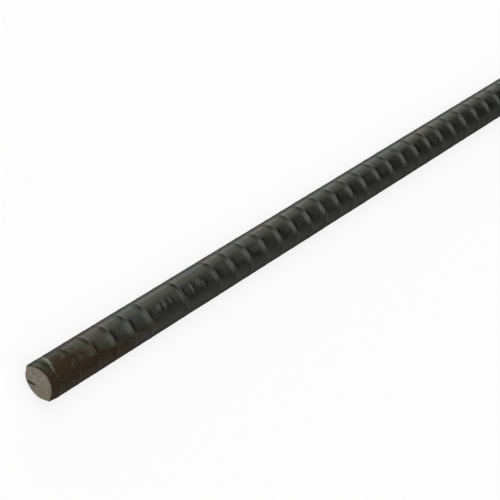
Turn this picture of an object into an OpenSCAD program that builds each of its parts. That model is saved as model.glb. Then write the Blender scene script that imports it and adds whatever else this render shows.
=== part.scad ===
// Deformed steel reinforcing bar, half-inch size, cut to a two-foot length.
// The bar lies level along X, Z is up, and the origin is on the floor under the middle of the bar.
// The section is a round core with two longitudinal ribs, left where the two rolls of the mill meet.
// Both ribs lie level with the axis, one on each side, so that the bar rests on its core.

/* [Bar] */
// Length between the two cut ends
bar_length = 609.6; // [150:0.1:1220]
// Diameter of the round core between the ribs
core_d = 12.1; // [8:0.1:20]

/* [Longitudinal ribs] */
// Height of a rib's crest above the core
rib_h = 1; // [0.5:0.05:1.2]
// Width between a rib's flanks, at the height of the crest
crest_w = 1.1; // [0.8:0.05:1.6]
// Radius of the crown across a rib's crest
crown_r = 1.2; // [1:0.05:2]
// Lean of a rib's flanks away from its middle plane, in degrees
flank_lean = 30; // [10:1:40]
// Radius of the fillet at the foot of each flank
foot_r = 1.2; // [0.3:0.05:1.5]
// Depth that a fillet's arc bites into the core and the flank, so that the lines cross
foot_bite = 0.02; // [0.01:0.005:0.05]

/* [Hidden] */

// Circles are drawn this fine on screen.
$fn = 96;

core_r = core_d / 2;
tip_r = core_r + rib_h;

// In a rib's own plane, the first coordinate runs out along the rib and the second across it.
// The web's flanks start below the core's surface, as deep as the crest is high.
web_base_r = core_r - rib_h;
web_base_w = crest_w + 2 * (tip_r - web_base_r) * tan(flank_lean);

// A flank is a straight line, given by its outward normal, its direction and its distance from the axis.
flank_normal = [sin(flank_lean), cos(flank_lean)];
flank_run = [cos(flank_lean), -sin(flank_lean)];
flank_offset = flank_normal * [tip_r, crest_w / 2];

// The fillet's centre lies as far from the flank's line as from the core.
foot_reach = foot_r - foot_bite;
foot_across = flank_offset + foot_reach;
foot_along = sqrt((core_r + foot_reach) ^ 2 - foot_across ^ 2);
foot_centre = foot_across * flank_normal + foot_along * flank_run;

// The line from that centre square to the flank reaches the rib's middle plane here.
foot_middle = [foot_centre.x - foot_centre.y * tan(flank_lean), 0];

// The rib's web, with leaning flanks and a crowned crest
module rib_web() {
    intersection() {
        polygon([
            [web_base_r, -web_base_w / 2],
            [tip_r, -crest_w / 2],
            [tip_r, crest_w / 2],
            [web_base_r, web_base_w / 2],
        ]);
        translate([tip_r - crown_r, 0]) circle(crown_r);
    }
}

// The hollow fillet that leads one flank into the core
module rib_foot() {
    difference() {
        polygon([[0, 0], foot_middle, foot_centre]);
        translate(foot_centre) circle(foot_r);
    }
}

module longitudinal_rib() {
    rib_web();
    rib_foot();
    mirror([0, 1]) rib_foot();
}

// The rolled section, with its ribs on the first axis
module bar_section() {
    circle(core_r);
    for (turn = [0, 180]) {
        rotate(turn) longitudinal_rib();
    }
}

module rebar() {
    color("#3d3e39")
        translate([-bar_length / 2, 0, core_r])
            rotate([90, 0, 90])
                linear_extrude(bar_length)
                    bar_section();
}

rebar();
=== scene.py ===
# Looks of a deformed steel reinforcing bar: rolled ribs, mill scale, a sheared end, rust and paint

import math

import bmesh
import bpy
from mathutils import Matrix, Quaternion, Vector, noise


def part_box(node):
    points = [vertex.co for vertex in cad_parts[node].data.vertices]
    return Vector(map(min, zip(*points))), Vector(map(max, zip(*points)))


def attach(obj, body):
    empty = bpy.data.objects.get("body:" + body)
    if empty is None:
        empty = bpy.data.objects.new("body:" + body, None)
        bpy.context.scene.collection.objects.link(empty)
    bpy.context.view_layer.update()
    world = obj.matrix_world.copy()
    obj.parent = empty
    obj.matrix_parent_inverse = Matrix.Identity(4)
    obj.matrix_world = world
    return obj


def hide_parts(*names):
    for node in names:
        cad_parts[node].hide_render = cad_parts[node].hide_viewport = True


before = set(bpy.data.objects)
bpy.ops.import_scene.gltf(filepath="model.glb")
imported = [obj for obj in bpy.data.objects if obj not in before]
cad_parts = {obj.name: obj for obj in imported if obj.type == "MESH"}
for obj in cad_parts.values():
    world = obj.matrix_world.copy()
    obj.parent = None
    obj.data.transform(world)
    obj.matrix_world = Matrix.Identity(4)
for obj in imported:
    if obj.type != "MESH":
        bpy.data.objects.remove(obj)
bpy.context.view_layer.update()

MM = 0.001

# Sizes of the bar, from the frame
bar_low, bar_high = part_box("rebar")
NEAR_X = bar_low.x
FAR_X = bar_high.x
CORE_R = (bar_high.z - bar_low.z) / 2
AXIS_Z = bar_low.z + CORE_R
TIP_R = bar_high.y

# Longitudinal ribs along both sides of the core: a round crest, and straight flanks that touch the core
# These flanks are gentler than the solid's, so that no line shows where they meet the core.
SIDE_CROWN_R = 0.9 * MM
SIDE_FOOT = 0.3 * MM
SIDE_SCALLOP = 0.06 * MM
SIDE_RAISE = 0.06 * MM

# Transverse ribs, rolled into the upper and the lower half of the core
RIB_PITCH = 8.805 * MM
RIB_H = 0.75 * MM
RIB_CREST = 0.12 * MM
NEAR_REACH = 1.05 * MM
FAR_REACH = 1.35 * MM
RIB_TAIL = 3.6 * MM
NEAR_TAIL_SHARE = 0.22
FAR_TAIL_SHARE = 0.2
FIRST_RIB = 3.55 * MM
RIB_RUNOUT = 0.15
RUNOUT_START = 0.5
RUNOUT_REACH = 0.4
RIB_WEAR = 0.2
LOWER_STAGGER = 0.5

# Unevenness from the rolls: how far the ribs wander and the surface waves, and over what length
RIB_WANDER = 0.22 * MM
WANDER_LENGTH = 5 * MM
ROLLED_WAVE = 0.045 * MM
WAVE_LENGTH = 9 * MM

# Raised marks on the upper half, in the place of two ribs: plain dashes and pads, worn down
# Each is the rib that it replaces, its place along and around from there, its length and its width around.
MARKS = [
    (6, -2.4 * MM, 0.6 * MM, 2.0 * MM, 2.6 * MM),
    (6, 0.6 * MM, 0.2 * MM, 2.6 * MM, 3.2 * MM),
    (6, 3.0 * MM, 0.4 * MM, 1.6 * MM, 2.4 * MM),
    (8, -3.4 * MM, 0.4 * MM, 1.2 * MM, 5.0 * MM),
    (8, 0.8 * MM, 0.9 * MM, 2.2 * MM, 3.0 * MM),
    (8, 2.4 * MM, -0.6 * MM, 2.0 * MM, 3.4 * MM),
]
MARK_H = 0.34 * MM
MARK_FLAT = 0.5
MARK_SLOPE = 0.8
MARK_KEPT = 0.7
MARK_WEAR = 0.8
MARK_GRAIN = 0.8 * MM
BARE_RIBS = {mark[0] for mark in MARKS}

# The sheared near end: its face is hollow and gouged, and its edge is drawn in on one side
SHEAR_FACING = math.radians(-130)
SHEAR_DRAW = 0.35 * MM
SHEAR_REACH = 3.5 * MM
CUT_HOLLOW = 0.4 * MM
CUT_BEVEL = 0.12 * MM
CUT_ROUGH = 0.05 * MM
CUT_STREAK_W = 0.7 * MM
CUT_STREAK_LENGTH = 2.5 * MM
GOUGE_FROM = (2.6 * MM, -5.0 * MM)
GOUGE_TO = (-0.2 * MM, -2.3 * MM)
GOUGE_W = 0.9 * MM
GOUGE_DEPTH = 0.3 * MM
FACE_PITS = [(-3.3 * MM, 3.9 * MM), (-4.1 * MM, 2.35 * MM)]

# Steps of the mesh: along each pitch, and around the bar, closer together on the ribs
STEPS_PER_PITCH = 16
FINE_STEPS = 28
FINE_PITCHES = {-1, 0, 1, 5, 6, 7, 8}
STEPS_AROUND = 72
CLOSE_ON_RIB = 0.6
CLOSE_ON_SIDE = 0.6
NEAR_RINGS = 20
FAR_RINGS = 8
SHARP_EDGE = math.radians(40)

# Grain of the mill scale
PATCH_SIZE = 9 * MM
MOTTLE_SIZE = 2.2 * MM
SPECK_SIZE = 0.7 * MM

# Colours of the mill scale: bare, and a painted sheen for the flank that faces +Y
SCALE_OLIVE = (0.008, 0.0077, 0.0053)
SCALE_BLUE = (0.01, 0.0112, 0.0106)
SCALE_PALE = (0.019, 0.0184, 0.0142)
SCALE_DARK = (0.0062, 0.0062, 0.0048)
SCALE_SPECK = (0.0162, 0.0164, 0.0132)
SCALE_CREST = (0.019, 0.0195, 0.018)
PAINTED_SHEEN_BROWN = (0.056, 0.047, 0.032)
PAINTED_SHEEN_GREEN = (0.038, 0.047, 0.041)
REFLECTION_TINT = (0.96, 1.0, 0.9)

# Colours of what lies on the scale
RUST_FLECK = (0.05, 0.03, 0.018)
RUST_STAIN = (0.023, 0.0163, 0.0062)
RUST_DARK = (0.0175, 0.0098, 0.0034)
RUST_LIGHT = (0.036, 0.0218, 0.0082)
PAINT_THIN = (0.015, 0.0245, 0.009)
PAINT_THICK = (0.14, 0.165, 0.12)
DUST = (0.0185, 0.0182, 0.0145)
# Painted shade: near black, for the edge of the -Y side, where the underside is in shade
PAINTED_SHADE = (0.003, 0.003, 0.002)

# Where each finish, the painted sheen and the painted shade start and where they are full, across the bar,
# with +Y as plus
# Painted sheen on the flank that faces +Y
PAINTED_SHEEN_SIDE = (4.6 * MM, 5.5 * MM)
DULLED_SIDE = (2.0 * MM, 5.0 * MM)
OUTER_CREST = (5.55 * MM, 7.1 * MM)
RUSTY_SIDE = (-0.4 * MM, -4.5 * MM)
RUST_TO_SIDE = (8.0 * MM, 3.0 * MM)
WASHED_SIDE = (0.5 * MM, 4.0 * MM)
PAINTED_SIDE = (-3.5 * MM, 4.0 * MM)
DUSTY_SIDE = (-1.2 * MM, -6.0 * MM)
# Painted shade along the edge of the -Y side
SHADED_EDGE = (-5.8 * MM, -6.9 * MM)

# Where rust ends and full rust starts, along the bar from the cut, and what shifts both
STAIN_ENDS = (44 * MM, 20 * MM)
RUST_ENDS = (28 * MM, 17 * MM)
RUST_BY_PATCH = 24 * MM
RUST_BY_MOTTLE = 22 * MM
RUST_BY_SIDE = 26 * MM
RUST_SHIFT = 16 * MM

# Where the paint starts and ends, along the bar from the cut: a thin wash, and a thick streak that bends away
WASH_STARTS = (0.6 * MM, 1.6 * MM)
WASH_ENDS = (7.5 * MM, 4.5 * MM)
STREAK_STARTS = (2.7 * MM, 3.4 * MM)
STREAK_ENDS = (4.7 * MM, 4.0 * MM)
STREAK_BEND = 2.0 * MM
STREAK_BENDS = (1.5 * MM, 6.5 * MM)

# Colours and places on the cut faces
TEAR_SIZE = 0.45 * MM
CLOUD_SIZE = 2.5 * MM
STEEL_DARK = (0.18, 0.15, 0.112)
STEEL_LIGHT = (0.315, 0.27, 0.217)
STEEL_TARNISH = (0.2, 0.158, 0.096)
STEEL_RIM = (0.12, 0.104, 0.08)
PIT_COLOUR = (0.085, 0.068, 0.048)
GOUGE_COLOUR = (0.02, 0.013, 0.006)
NEAR_HALF = (200 * MM, 100 * MM)
TARNISHED_SIDE = (0.0, -5 * MM)
RIM_RADII = (5.4 * MM, 6.2 * MM)
RIM_SIDES = (6.0 * MM, 4.6 * MM)
PIT_RADII = (0.5 * MM, 0.15 * MM)
GOUGE_STARTS = (-0.4 * MM, 0.0)
GOUGE_OVERRUN = 0.3 * MM

# The studio: a floor that mostly shows its own white, and the levels of the dome of light
FLOOR_SIZE = 12
FLOOR_COLOUR = (0.95, 0.95, 0.95)
WHITE = (1, 1, 1)
FLOOR_OWN_WHITE = 0.8
LEAST_GLOW = 0.02
STRIP_GLOW = 1.7
CEILING_GLOW = 0.48
CEILING_FAR_GLOW = 1.35
WALL_GLOW = 1.7
WALL_NEAR_SHARE = 0.35
WALL_COLOUR = (1, 0.99, 0.82)

# The photograph's viewpoint, from the middle of the near cut
VIEW_AIM = Vector((107.67, 0.74, 0)) * MM
VIEW_DISTANCE = 595.64 * MM
VIEW_ELEVATION = math.radians(48.864)
VIEW_AZIMUTH = math.radians(1.124)
VIEW_ROLL = math.radians(56.737)
VIEW_LENS = 116.75
VIEW_SENSOR = 36
VIEW_CLIP = 0.01


def eased(share):
    """Goes smoothly from 0 to 1 as share does, and stays there outside."""
    share = min(max(share, 0.0), 1.0)
    return share * share * (3 - 2 * share)


def filleted(a, b, reach):
    """The larger of two heights, with a fillet where they meet."""
    near = max(reach - abs(a - b), 0.0) / reach
    return max(a, b) + near * near * reach / 4


def unevenness(x, angle, length, around, shift):
    """Noise on the bar's surface, about as long as length and finer around the bar where around is larger."""
    return noise.noise(Vector((x / length, around * math.cos(angle), around * math.sin(angle) + shift)))


def cut_hollow(y):
    """How far the near cut lies behind the bar's end, at a place across the bar."""
    return CUT_HOLLOW * max(1 - (y / TIP_R) ** 2, 0)


def side_rib_radius(turn, tip_r):
    """Distance from the axis to a longitudinal rib's surface, turn radians away from its middle plane."""
    crown_centre = tip_r - SIDE_CROWN_R
    lean = math.asin((CORE_R - SIDE_CROWN_R) / crown_centre)
    crown_end = math.atan2(SIDE_CROWN_R * math.cos(lean), crown_centre + SIDE_CROWN_R * math.sin(lean))
    if turn > crown_end:
        flank = 1 / math.sin(lean + turn)
        return CORE_R * (flank if lean + turn < math.pi / 2 else 2 - flank)
    sideways = crown_centre * math.sin(turn)
    return crown_centre * math.cos(turn) + math.sqrt(SIDE_CROWN_R ** 2 - sideways ** 2)


def rib_share(gap):
    """Share of a transverse rib's full height, at a distance along the bar from its middle."""
    reach, share = (FAR_REACH, FAR_TAIL_SHARE) if gap > 0 else (NEAR_REACH, NEAR_TAIL_SHARE)
    ridge = 1 - eased((abs(gap) - RIB_CREST) / (reach - RIB_CREST))
    tail = max(1 - abs(gap) / RIB_TAIL, 0) ** 2
    return ridge + share * (tail - ridge)


def mark_share(along, around, number):
    """Share of the raised marks' full height, at a place from the middle of the rib that they replace."""
    share = 0.0
    for rib, place, turn, length, width in MARKS:
        if rib == number:
            reach = math.hypot((along - place) / (length / 2), (around - turn) / (width / 2))
            share = max(share, 1 - eased((reach - MARK_FLAT) / MARK_SLOPE))
    worn = noise.noise(Vector((along / MARK_GRAIN, around / MARK_GRAIN, number)))
    return share * (MARK_KEPT + MARK_WEAR * worn)


def rise_at(x, angle):
    """Height of the rolled relief above the core, between the longitudinal ribs."""
    upper = math.sin(angle) > 0
    wander = RIB_WANDER * unevenness(x, angle, WANDER_LENGTH, 2, 0)
    along = (x - NEAR_X - FIRST_RIB + wander) / RIB_PITCH
    if not upper:
        along -= LOWER_STAGGER
    number = round(along)
    gap = (along - number) * RIB_PITCH
    if upper and number in BARE_RIBS:
        return MARK_H * mark_share(gap, CORE_R * (math.pi / 2 - angle), number)
    worn = 1 + RIB_WEAR * noise.noise(Vector((number * 3.7, 4 * angle, 8.0)))
    runout = 1 - RIB_RUNOUT * eased((abs(math.cos(angle)) - RUNOUT_START) / RUNOUT_REACH)
    return RIB_H * worn * runout * rib_share(gap)


def surface_point(x, angle):
    """A point on the bar's rolled surface, and how far it stands out, from 0 on the core to 1 on a crest."""
    turn = abs((angle + math.pi / 2) % math.pi - math.pi / 2)
    rise = rise_at(x, angle)
    tip_r = TIP_R + SIDE_RAISE + SIDE_SCALLOP * (min(rise / RIB_H, 1) - 0.5)
    wave = ROLLED_WAVE * unevenness(x, angle, WAVE_LENGTH, 1.5, 4)
    radius = filleted(CORE_R + rise, side_rib_radius(turn, tip_r), SIDE_FOOT) + wave
    near_cut = eased(1 - (x - NEAR_X) / SHEAR_REACH)
    radius -= near_cut * SHEAR_DRAW * max(math.cos(angle - SHEAR_FACING), 0)
    y = radius * math.cos(angle)
    place = Vector((x + near_cut * cut_hollow(y), y, AXIS_Z + radius * math.sin(angle)))
    return place, min(max((radius - CORE_R) / RIB_H, 0), 1)


def rows_along():
    """Places of the mesh's rows along the bar. They crowd on the ribs of both halves."""
    rows = [NEAR_X]
    for number in range(-1, math.ceil((FAR_X - NEAR_X) / RIB_PITCH) + 1):
        steps = FINE_STEPS if number in FINE_PITCHES else STEPS_PER_PITCH
        for step in range(steps):
            share = step / steps
            crowded = number + share - CLOSE_ON_RIB / (4 * math.pi) * math.sin(4 * math.pi * share)
            x = NEAR_X + FIRST_RIB + crowded * RIB_PITCH
            if NEAR_X + 2 * CUT_BEVEL < x < FAR_X - 2 * CUT_BEVEL:
                rows.append(x)
    return rows + [FAR_X]


def angle_around(step):
    """Angle of a column of the mesh, from the +Y side. The columns crowd on the longitudinal ribs."""
    share = 2 * math.pi * step / STEPS_AROUND
    return share - CLOSE_ON_SIDE / 2 * math.sin(2 * share)


def roll_tube(bm):
    """Rolls a grid up into the bar's surface, open at both ends."""
    standing_out = bm.verts.layers.float.new("standing_out")
    rows = rows_along()
    last = len(rows) - 1
    bmesh.ops.create_grid(bm, x_segments=last, y_segments=STEPS_AROUND, size=0.5)
    for vert in bm.verts:
        x = rows[round((vert.co.x + 0.5) * last)]
        angle = angle_around(round((vert.co.y + 0.5) * STEPS_AROUND) % STEPS_AROUND)
        vert.co, vert[standing_out] = surface_point(x, angle)
    bmesh.ops.remove_doubles(bm, verts=bm.verts, dist=1e-7)


def cut_relief(y, height):
    """How far the sheared face's streaks and gouge lie behind it."""
    rough = CUT_ROUGH * noise.noise(Vector((y / CUT_STREAK_W, height / CUT_STREAK_LENGTH, 2.0)))
    start = Vector(GOUGE_FROM)
    run = Vector(GOUGE_TO) - start
    reach = Vector((y, height)) - start
    share = min(max(reach.dot(run) / run.length_squared, 0), 1)
    gouge = 1 - eased((reach - share * run).length / GOUGE_W)
    return rough + GOUGE_DEPTH * gouge


def close_end(bm, end_x, rings, sheared):
    """Closes one end with a cut face that has a worn edge and rings fine enough for its relief."""
    rim = [edge for edge in bm.edges if edge.is_boundary and abs(edge.verts[0].co.x - end_x) < MM]
    bmesh.ops.contextual_create(bm, geom=rim)
    bmesh.ops.bevel(
        bm,
        geom=rim,
        offset=CUT_BEVEL,
        offset_type="OFFSET",
        segments=2,
        profile=0.5,
        affect="EDGES",
        material=-1,
    )
    cap = max(bm.faces, key=lambda face: len(face.verts))
    cap.material_index = 1
    for ring in range(1, rings):
        cap = bmesh.ops.extrude_discrete_faces(bm, faces=[cap])["faces"][0]
        shrink = 1 - 1 / (rings + 1 - ring)
        for vert in cap.verts:
            vert.co.y *= shrink
            vert.co.z = AXIS_Z + (vert.co.z - AXIS_Z) * shrink
            if sheared:
                vert.co.x = end_x + cut_hollow(vert.co.y)
    bmesh.ops.poke(bm, faces=[cap])
    if sheared:
        for vert in bm.verts:
            if all(face.material_index == 1 for face in vert.link_faces):
                vert.co.x += cut_relief(vert.co.y, vert.co.z - AXIS_Z)


def finish_mesh(name, bm, materials):
    """An object in the scene, with a bmesh's shape and these materials."""
    mesh = bpy.data.meshes.new(name)
    bm.to_mesh(mesh)
    bm.free()
    for material in materials:
        mesh.materials.append(material)
    made = bpy.data.objects.new(name, mesh)
    bpy.context.scene.collection.objects.link(made)
    return made


def make_bar():
    """The bar as one closed mesh. Its cut faces have the second material."""
    bm = bmesh.new()
    roll_tube(bm)
    close_end(bm, NEAR_X, NEAR_RINGS, True)
    close_end(bm, FAR_X, FAR_RINGS, False)
    bmesh.ops.recalc_face_normals(bm, faces=bm.faces)
    made = finish_mesh("ribbed_bar", bm, [mill_scale(), cut_steel()])
    made.data.shade_smooth()
    made.data.set_sharp_from_angle(angle=SHARP_EDGE)
    return made


class Shade:
    """A value in a node tree. Arithmetic on it adds Math nodes, and node() adds any other node."""

    def __init__(self, tree, socket=None):
        self.tree = tree
        self.socket = socket

    def node(self, kind, settings=None, inputs=None, output=0):
        """Adds a node, with its settings first and then its sockets, and gives one of its outputs."""
        made = self.tree.nodes.new(kind)
        for name, value in (settings or {}).items():
            setattr(made, name, value)
        for name, value in (inputs or {}).items():
            if isinstance(value, Shade):
                self.tree.links.new(value.socket, made.inputs[name])
            else:
                made.inputs[name].default_value = value
        return Shade(self.tree, made.outputs[output])

    def math(self, operation, first, second):
        """A Math node on two values."""
        return self.node("ShaderNodeMath", {"operation": operation}, {0: first, 1: second})

    def __add__(self, other):
        return self.math("ADD", self, other)

    def __radd__(self, other):
        return self.math("ADD", other, self)

    def __sub__(self, other):
        return self.math("SUBTRACT", self, other)

    def __rsub__(self, other):
        return self.math("SUBTRACT", other, self)

    def __mul__(self, other):
        return self.math("MULTIPLY", self, other)

    def __rmul__(self, other):
        return self.math("MULTIPLY", other, self)

    def between(self, low, high):
        """Goes smoothly from 0 at low to 1 at high."""
        return self.node(
            "ShaderNodeMapRange",
            {"interpolation_type": "SMOOTHSTEP"},
            {"Value": self, "From Min": low, "From Max": high},
        )

    def mix(self, first, second):
        """The first colour where this value is 0, and the second where it is 1."""
        return self.node(
            "ShaderNodeMix", {"data_type": "RGBA"}, {0: self, 6: colour(first), 7: colour(second)}, 2
        )

    def part(self, name):
        """One coordinate of a vector."""
        return self.node("ShaderNodeSeparateXYZ", {}, {0: self}, name)

    def grain(self, size, detail=2.0, roughness=0.5, stretch=(1, 1, 1)):
        """Noise about as coarse as size, drawn out along the axes by stretch. This value is a position."""
        scale = [1 / (size * each) for each in stretch]
        placed = self.node("ShaderNodeMapping", {}, {"Vector": self, "Scale": scale})
        settings = {"Vector": placed, "Scale": 1.0, "Detail": detail, "Roughness": roughness}
        return self.node("ShaderNodeTexNoise", {}, settings)


def colour(value):
    """A colour for a socket: a Shade as it is, or red, green and blue with full alpha."""
    return value if isinstance(value, Shade) else (*value, 1.0)


def start_material(name):
    """A new material, its empty Shade and its main shader."""
    material = bpy.data.materials.new(name)
    material.use_nodes = True
    return material, Shade(material.node_tree), material.node_tree.nodes["Principled BSDF"]


def position_on(shade):
    """The position on the piece."""
    return shade.node("ShaderNodeTexCoord", output="Object")


def feed(shader, **sockets):
    """Sets or links sockets of a shader, whose names have spaces where these have underscores."""
    for name, value in sockets.items():
        socket = shader.inputs[name.replace("_", " ")]
        if isinstance(value, Shade):
            value.tree.links.new(value.socket, socket)
        else:
            socket.default_value = value


def show(material, shader):
    """Makes a shader the one that the material shows."""
    output = material.node_tree.nodes["Material Output"]
    material.node_tree.links.new(shader.socket, output.inputs["Surface"])


def apart(shade, first, second):
    """The length of the flat vector with these two parts."""
    pair = shade.node("ShaderNodeCombineXYZ", {}, {0: first, 1: second})
    return shade.node("ShaderNodeVectorMath", {"operation": "LENGTH"}, {0: pair}, "Value")


def mill_scale():
    """Dark scale from the rolling mill: a painted sheen on one side and dust on the other, rusted near the
    cut, with a streak of green paint."""
    material, shade, surface = start_material("mill_scale")
    position = position_on(shade)
    along = position.part("X") - NEAR_X
    across = position.part("Y")
    standing_out = shade.node("ShaderNodeAttribute", {"attribute_name": "standing_out"}, output="Fac")
    patches = position.grain(PATCH_SIZE, 3, 0.55, (1.6, 1, 1))
    mottle = position.grain(MOTTLE_SIZE, 3, 0.6, (1.5, 1, 1))
    specks = position.grain(SPECK_SIZE, 2)

    # Bare scale, paler on the crests and with a few flecks of rust
    skin = patches.between(0.35, 0.65).mix(SCALE_OLIVE, SCALE_BLUE)
    skin = mottle.between(0.45, 0.7).mix(skin, SCALE_PALE)
    skin = mottle.between(0.45, 0.28).mix(skin, SCALE_DARK)
    skin = specks.between(0.5, 0.7).mix(skin, SCALE_SPECK)
    on_crests = standing_out.between(0.55, 1.0) * mottle.between(0.3, 0.6)
    skin = (on_crests * 0.6).mix(skin, SCALE_CREST)
    flecks = specks.between(0.66, 0.74) * patches.between(0.5, 0.62)
    skin = (flecks * 0.5).mix(skin, RUST_FLECK)

    # Painted sheen: the flank that faces +Y is painted paler, as if lit from that side, less and less towards
    # the crest beyond it.
    outer_crest = across.between(*OUTER_CREST)
    painted_sheen = across.between(*PAINTED_SHEEN_SIDE) * (1 - 0.95 * outer_crest)
    skin = painted_sheen.mix(skin, patches.between(0.38, 0.62).mix(PAINTED_SHEEN_BROWN, PAINTED_SHEEN_GREEN))

    # A stain of rust reaches from the cut, farther on the -Y side.
    rust_side = across.between(*RUSTY_SIDE)
    from_cut = along + patches * RUST_BY_PATCH + mottle * RUST_BY_MOTTLE
    from_cut = from_cut - rust_side * RUST_BY_SIDE - RUST_SHIFT
    stained = from_cut.between(*STAIN_ENDS)
    skin = (stained * 0.9).mix(skin, RUST_STAIN)

    # Paint lies thin next to the cut and thick in a broken streak over the first rib.
    washed = along.between(*WASH_STARTS) * along.between(*WASH_ENDS) * across.between(*WASHED_SIDE)
    skin = (washed * 0.85).mix(skin, PAINT_THIN)
    from_bend = along - STREAK_BEND * across.between(*STREAK_BENDS)
    painted = from_bend.between(*STREAK_STARTS) * from_bend.between(*STREAK_ENDS)
    painted = painted * across.between(*PAINTED_SIDE) * specks.between(0.36, 0.5)
    skin = painted.mix(skin, PAINT_THICK)

    # Dust dulls the -Y side, and painted shade darkens its edge, where the underside is in shade.
    dusty = across.between(*DUSTY_SIDE)
    skin = (dusty * 0.6).mix(skin, DUST)
    painted_shade = across.between(*SHADED_EDGE)
    skin = (painted_shade * 0.9).mix(skin, PAINTED_SHADE)

    bumps = 0.6 * specks + 0.4 * mottle
    normal = shade.node("ShaderNodeBump", {}, {"Strength": 0.8, "Distance": 0.2 * MM, "Height": bumps})
    roughness = 0.13 + 0.26 * mottle + 0.08 * patches + 0.5 * dusty
    roughness = roughness + 0.1 * across.between(*DULLED_SIDE) + 0.4 * outer_crest
    feed(
        surface,
        Base_Color=skin,
        Roughness=roughness,
        Normal=normal,
        Specular_IOR_Level=0.5,
        Specular_Tint=colour(REFLECTION_TINT),
    )

    # Thick rust has a dull shader of its own.
    rusty = from_cut.between(*RUST_ENDS) * mottle.between(0.1, 0.4) * across.between(*RUST_TO_SIDE)
    rusty = rusty * (1 - painted) * (1 - 0.5 * washed)
    rust_skin = specks.between(0.3, 0.7).mix(RUST_DARK, RUST_LIGHT)
    rust_sockets = {"Base Color": rust_skin, "Roughness": 0.75, "Normal": normal, "Specular IOR Level": 0.2}
    rust = shade.node("ShaderNodeBsdfPrincipled", {}, rust_sockets)
    scale = Shade(material.node_tree, surface.outputs[0])
    show(material, shade.node("ShaderNodeMixShader", {}, {0: rusty, 1: scale, 2: rust}))
    return material


def cut_steel():
    """Bare sheared steel, dull warm grey with fine tearing lines, darker at its edge, pits and gouge."""
    material, shade, surface = start_material("cut_steel")
    position = position_on(shade)
    across = position.part("Y")
    height = position.part("Z") - AXIS_Z
    near_face = (position.part("X") - NEAR_X).between(*NEAR_HALF)
    tears = position.grain(TEAR_SIZE, 3, 0.6, (1, 1, 6))
    clouds = position.grain(CLOUD_SIZE, 2)
    skin = tears.between(0.3, 0.7).mix(STEEL_DARK, STEEL_LIGHT)
    skin = (clouds.between(0.35, 0.65) * across.between(*TARNISHED_SIDE)).mix(skin, STEEL_TARNISH)
    outer, inner = RIM_SIDES
    between_ribs = (across * across).between(outer ** 2, inner ** 2)
    rim = apart(shade, across, height).between(*RIM_RADII)
    skin = (rim * between_ribs).mix(skin, STEEL_RIM)

    for pit_y, pit_z in FACE_PITS:
        pit = apart(shade, across - pit_y, height - pit_z).between(*PIT_RADII)
        skin = (pit * near_face).mix(skin, PIT_COLOUR)

    run = Vector(GOUGE_TO) - Vector(GOUGE_FROM)
    way = run.normalized()
    start_y, start_z = GOUGE_FROM
    along_gouge = (across - start_y) * way.x + (height - start_z) * way.y
    beside_gouge = (across - start_y) * way.y - (height - start_z) * way.x
    gouged = beside_gouge.between(-GOUGE_W, -GOUGE_W / 3) * beside_gouge.between(GOUGE_W, GOUGE_W / 3)
    gouged = gouged * along_gouge.between(*GOUGE_STARTS)
    gouged = gouged * along_gouge.between(run.length + GOUGE_OVERRUN, run.length / 2)
    skin = (gouged * near_face).mix(skin, GOUGE_COLOUR)

    normal = shade.node("ShaderNodeBump", {}, {"Strength": 0.3, "Distance": 0.1 * MM, "Height": tears})
    feed(surface, Base_Color=skin, Roughness=0.55 + 0.2 * tears, Normal=normal, Specular_IOR_Level=0.4)
    return material


def pale_floor():
    """A floor's finish: the camera and reflections see its own white, with a share of light and shadow."""
    material, shade, surface = start_material("studio_floor")
    feed(surface, Base_Color=colour(FLOOR_COLOUR), Roughness=0.9, Specular_IOR_Level=0.0)
    camera_ray = shade.node("ShaderNodeLightPath", output="Is Camera Ray")
    glossy_ray = shade.node("ShaderNodeLightPath", output="Is Glossy Ray")
    transmission_ray = shade.node("ShaderNodeLightPath", output="Is Transmission Ray")
    own_white = (camera_ray + glossy_ray + transmission_ray) * FLOOR_OWN_WHITE
    white = shade.node("ShaderNodeEmission", {}, {"Color": colour(WHITE), "Strength": 1.0})
    lit = Shade(material.node_tree, surface.outputs[0])
    show(material, shade.node("ShaderNodeMixShader", {}, {0: own_white, 1: lit, 2: white}))
    return material


def make_floor(height):
    """A plain pale floor at this height."""
    bm = bmesh.new()
    bmesh.ops.create_grid(bm, x_segments=1, y_segments=1, size=FLOOR_SIZE)
    bmesh.ops.translate(bm, verts=bm.verts, vec=(0, 0, height))
    return finish_mesh("studio_floor", bm, [pale_floor()])


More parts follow.
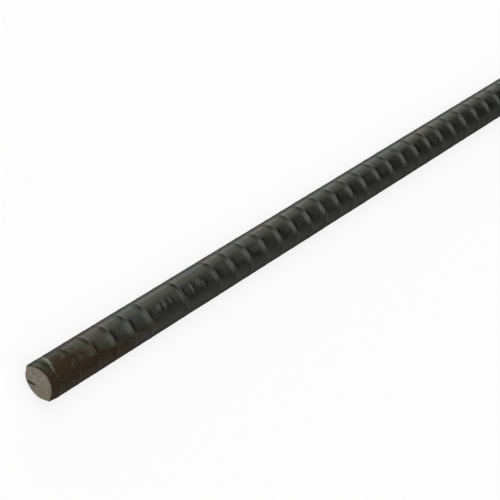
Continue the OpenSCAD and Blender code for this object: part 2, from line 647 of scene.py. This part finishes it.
def light_studio():
    """A dome of light: a strip overhead, a ceiling, and a warm wall on the +Y side.
    Back is towards +X, away from the camera, and the ceiling is brightest there."""
    world = bpy.data.worlds.new("studio")
    world.use_nodes = True
    bpy.context.scene.world = world
    shade = Shade(world.node_tree)
    direction = shade.node("ShaderNodeTexCoord", output="Generated")
    back = direction.part("X")
    side = direction.part("Y")
    up = direction.part("Z")

    strip = back.between(0.42, 0.05) * back.between(-0.75, -0.3) * up.between(0.25, 0.6)
    strip = strip * side.between(1.0, 0.35) * side.between(-0.95, -0.2)

    far_part = back.between(0.1, 0.4) * side.between(-0.55, 0.25)
    ceiling = back.between(0.7, 0.42) * up.between(0.4, 0.72) * side.between(0.9, 0.3)
    ceiling = ceiling * (CEILING_GLOW + CEILING_FAR_GLOW * far_part)

    wall_near = WALL_NEAR_SHARE * back.between(-0.7, 0.2)
    wall_beyond = (1 - WALL_NEAR_SHARE) * back.between(0.1, 0.5)
    wall = side.between(0.3, 0.8) * up.between(1.0, 0.2) * back.between(1.1, 0.45)
    wall = wall * (wall_near + wall_beyond)

    glow = LEAST_GLOW + STRIP_GLOW * strip + ceiling + WALL_GLOW * wall
    background = world.node_tree.nodes["Background"]
    feed(background, Color=wall.mix(WHITE, WALL_COLOUR), Strength=glow)


def place_camera():
    """The camera at the photograph's viewpoint, rolled so that the bar lies as it does there."""
    camera = bpy.data.objects.new("camera", bpy.data.cameras.new("camera"))
    bpy.context.scene.collection.objects.link(camera)
    forward = Vector((
        math.cos(VIEW_ELEVATION) * math.cos(VIEW_AZIMUTH),
        math.cos(VIEW_ELEVATION) * math.sin(VIEW_AZIMUTH),
        -math.sin(VIEW_ELEVATION),
    ))
    camera.location = Vector((NEAR_X, 0, AXIS_Z)) + VIEW_AIM - VIEW_DISTANCE * forward
    camera.rotation_mode = "QUATERNION"
    camera.rotation_quaternion = forward.to_track_quat("-Z", "Y") @ Quaternion((0, 0, 1), VIEW_ROLL)
    camera.data.lens = VIEW_LENS
    camera.data.sensor_width = VIEW_SENSOR
    camera.data.clip_start = VIEW_CLIP
    bpy.context.scene.camera = camera


for leftover in ("Cube", "Light", "Camera"):
    if leftover in bpy.data.objects:
        bpy.data.objects.remove(bpy.data.objects[leftover])

bar = make_bar()
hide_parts("rebar")
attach(bar, "root")
make_floor(min(vert.co.z for vert in bar.data.vertices))
light_studio()
place_camera()
bpy.context.scene.view_settings.view_transform = "Standard"
